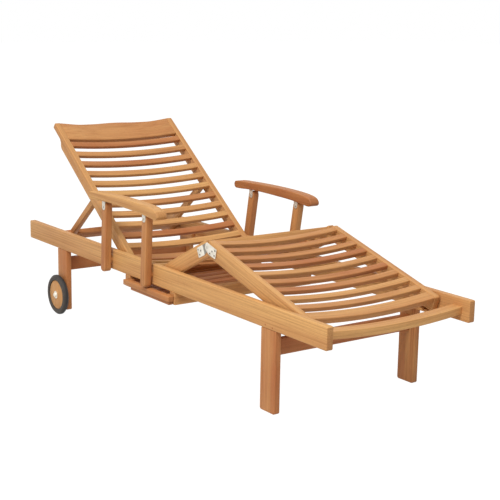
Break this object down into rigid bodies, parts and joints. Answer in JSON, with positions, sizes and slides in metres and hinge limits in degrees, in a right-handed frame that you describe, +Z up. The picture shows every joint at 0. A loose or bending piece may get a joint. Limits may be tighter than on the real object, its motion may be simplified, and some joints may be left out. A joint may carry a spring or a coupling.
{
  "type": "folding wooden sun lounger",
  "caption": "Slatted hardwood sun lounger on wheels with a reclining back on a prop frame, a raised knee break, folding armrests and a slide-out tray.",
  "frame": {"origin": "on the floor under the middle of the side rails", "axes": "+X towards the foot end, +Z up, Y across with the sitter's right-hand side at negative Y"},
  "size_m": [2, 0.7, 0.7733],
  "materials": {
    "teak": "fine sanded, unvarnished",
    "stainless": "satin",
    "rubber": "matt"
  },
  "bodies": {
    "frame": {"side_rail_right": "teak", "side_rail_left": "teak", "front_leg_right": "teak", "front_leg_left": "teak", "rear_leg_right": "teak", "rear_leg_left": "teak", "front_stretcher": "teak", "rear_stretcher": "teak", "foot_crossbar": "teak", "seat_board": "teak", "seat_slat_1": "teak", "seat_slat_2": "teak", "prop_rack_right": "teak", "prop_rack_left": "teak", "foot_rack_right": "teak", "foot_rack_left": "teak", "back_pin_right": "stainless", "back_pin_left": "stainless", "thigh_pin_right": "stainless", "thigh_pin_left": "stainless", "tray_runner_rear": "teak", "tray_runner_front": "teak", "axle_bolt_right": "stainless", "axle_bolt_left": "stainless"},
    "back": {"back_stile_right": "teak", "back_stile_left": "teak", "headrail": "teak", "back_slat_01": "teak", "back_slat_02": "teak", "back_slat_03": "teak", "back_slat_04": "teak", "back_slat_05": "teak", "back_slat_06": "teak", "back_slat_07": "teak", "back_slat_08": "teak", "back_slat_09": "teak", "back_slat_10": "teak", "back_slat_11": "teak"},
    "prop": {"prop_frame": "teak"},
    "thigh": {"thigh_panel": "teak", "knee_plate_thigh_right": "stainless", "knee_plate_thigh_left": "stainless"},
    "leg": {"leg_panel": "teak", "knee_plate_leg_right": "stainless", "knee_plate_leg_left": "stainless"},
    "front_post_right": {"arm_post_front_right": "teak"},
    "rear_post_right": {"arm_post_rear_right": "teak"},
    "armrest_right": {"arm_board_right": "teak", "arm_bracket_rear_right": "stainless", "arm_bracket_front_right": "stainless"},
    "front_post_left": {"arm_post_front_left": "teak"},
    "rear_post_left": {"arm_post_rear_left": "teak"},
    "armrest_left": {"arm_board_left": "teak", "arm_bracket_rear_left": "stainless", "arm_bracket_front_left": "stainless"},
    "tray": {"tray": "teak"},
    "wheel_right": {"wheel_disc_right": "teak", "wheel_tyre_right": "rubber"},
    "wheel_left": {"wheel_disc_left": "teak", "wheel_tyre_left": "rubber"}
  },
  "joints": [
    {"name": "back_recline", "type": "hinge", "parent": "frame", "child": "back", "pos_m": [-0.223, 0, 0.32], "axis": [0, 1, 0], "range_deg": [-33, 21]},
    {"name": "prop_swing", "type": "hinge", "parent": "back", "child": "prop", "pos_m": [-0.50586, 0, 0.51933], "axis": [0, -1, 0], "range_deg": [-68.7, 43.7]},
    {"name": "thigh_lift", "type": "hinge", "parent": "frame", "child": "thigh", "pos_m": [0.05, 0, 0.318], "axis": [0, -1, 0], "range_deg": [-27, 0]},
    {"name": "knee_bend", "type": "hinge", "parent": "thigh", "child": "leg", "pos_m": [0.32497, 0, 0.4581], "axis": [0, 1, 0], "range_deg": [-42.7, 0]},
    {"name": "arm_fold_right", "type": "hinge", "parent": "frame", "child": "front_post_right", "pos_m": [0.004, -0.3285, 0.308], "axis": [0, -1, 0], "range_deg": [0, 85]},
    {"name": "arm_rear_right", "type": "hinge", "parent": "frame", "child": "rear_post_right", "pos_m": [-0.29, -0.3285, 0.308], "axis": [0, -1, 0], "range_deg": [0, 85.1]},
    {"name": "arm_level_right", "type": "hinge", "parent": "front_post_right", "child": "armrest_right", "pos_m": [0.01468, -0.3285, 0.51172], "axis": [0, 1, 0], "range_deg": [0, 85.1]},
    {"name": "arm_fold_left", "type": "hinge", "parent": "frame", "child": "front_post_left", "pos_m": [0.004, 0.3285, 0.308], "axis": [0, -1, 0], "range_deg": [0, 92]},
    {"name": "arm_rear_left", "type": "hinge", "parent": "frame", "child": "rear_post_left", "pos_m": [-0.29, 0.3285, 0.308], "axis": [0, -1, 0], "range_deg": [0, 92.1]},
    {"name": "arm_level_left", "type": "hinge", "parent": "front_post_left", "child": "armrest_left", "pos_m": [0.03942, 0.3285, 0.5089], "axis": [0, 1, 0], "range_deg": [0, 92.1]},
    {"name": "tray_slide", "type": "slide", "parent": "frame", "child": "tray", "axis": [0, -1, 0], "range_m": [0, 0.28]},
    {"name": "wheel_spin_right", "type": "hinge", "parent": "frame", "child": "wheel_right", "pos_m": [-0.715, -0.321, 0.0815], "axis": [0, 1, 0], "continuous": true},
    {"name": "wheel_spin_left", "type": "hinge", "parent": "frame", "child": "wheel_left", "pos_m": [-0.715, 0.321, 0.0815], "axis": [0, 1, 0], "continuous": true}
  ],
  "couplings": [
    {"joint": "prop_swing", "follows": "back_recline", "ratio": 2.08},
    {"joint": "knee_bend", "follows": "thigh_lift", "ratio": 1.5775},
    {"joint": "arm_rear_right", "follows": "arm_fold_right", "ratio": 1},
    {"joint": "arm_level_right", "follows": "arm_fold_right", "ratio": 1},
    {"joint": "arm_rear_left", "follows": "arm_fold_left", "ratio": 1},
    {"joint": "arm_level_left", "follows": "arm_fold_left", "ratio": 1}
  ]
}
